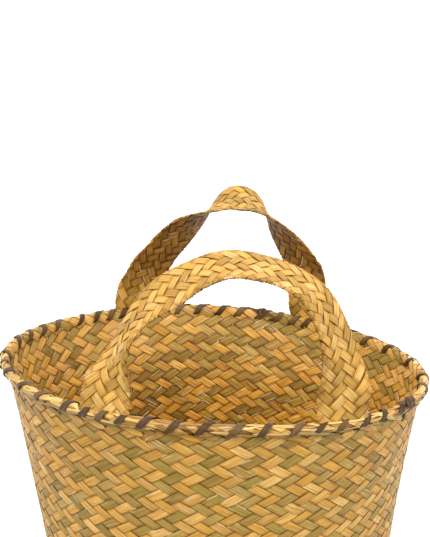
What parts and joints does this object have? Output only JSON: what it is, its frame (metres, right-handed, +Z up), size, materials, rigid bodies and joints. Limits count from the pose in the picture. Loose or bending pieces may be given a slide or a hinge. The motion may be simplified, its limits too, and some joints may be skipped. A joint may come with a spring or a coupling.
{
  "type": "woven storage basket",
  "caption": "Round flared storage basket woven on the bias from flat seagrass strips, with a whipped rim and two upright braided carrying handles.",
  "frame": {"origin": "centre of the underside of the base, on the surface the basket stands on", "axes": "+Z up through the mouth, +Y towards the rear handle, -Y towards the front handle, +X to the right along both handles"},
  "size_m": [0.3076, 0.308, 0.3434],
  "materials": {
    "seagrass_weave": "satin",
    "braided_handle": "satin",
    "straw_bundle": "matte",
    "dark_lashing": "matte"
  },
  "bodies": {
    "basket": {"woven_base": "seagrass_weave", "woven_wall": "seagrass_weave", "border_fold": "seagrass_weave", "rim_core": "straw_bundle", "rim_lashing": "dark_lashing", "lashing_knots": "dark_lashing", "front_handle_foot_left": "braided_handle", "front_handle_foot_right": "braided_handle", "rear_handle_foot_left": "braided_handle", "rear_handle_foot_right": "braided_handle"},
    "front_handle_loop": {"front_handle": "braided_handle"},
    "rear_handle_loop": {"rear_handle": "braided_handle"}
  },
  "joints": [
    {"name": "front_handle_swing", "type": "hinge", "parent": "basket", "child": "front_handle_loop", "pos_m": [-0.0701, -0.1323, 0.2519], "axis": [-0.9978, -0.0367, 0.0553], "range_deg": [-55, 75], "stiffness_Nm_per_rad": 0.2},
    {"name": "rear_handle_swing", "type": "hinge", "parent": "basket", "child": "rear_handle_loop", "pos_m": [-0.0686, 0.1336, 0.2482], "axis": [0.9981, -0.0223, -0.0571], "range_deg": [-55, 75], "stiffness_Nm_per_rad": 0.2}
  ]
}
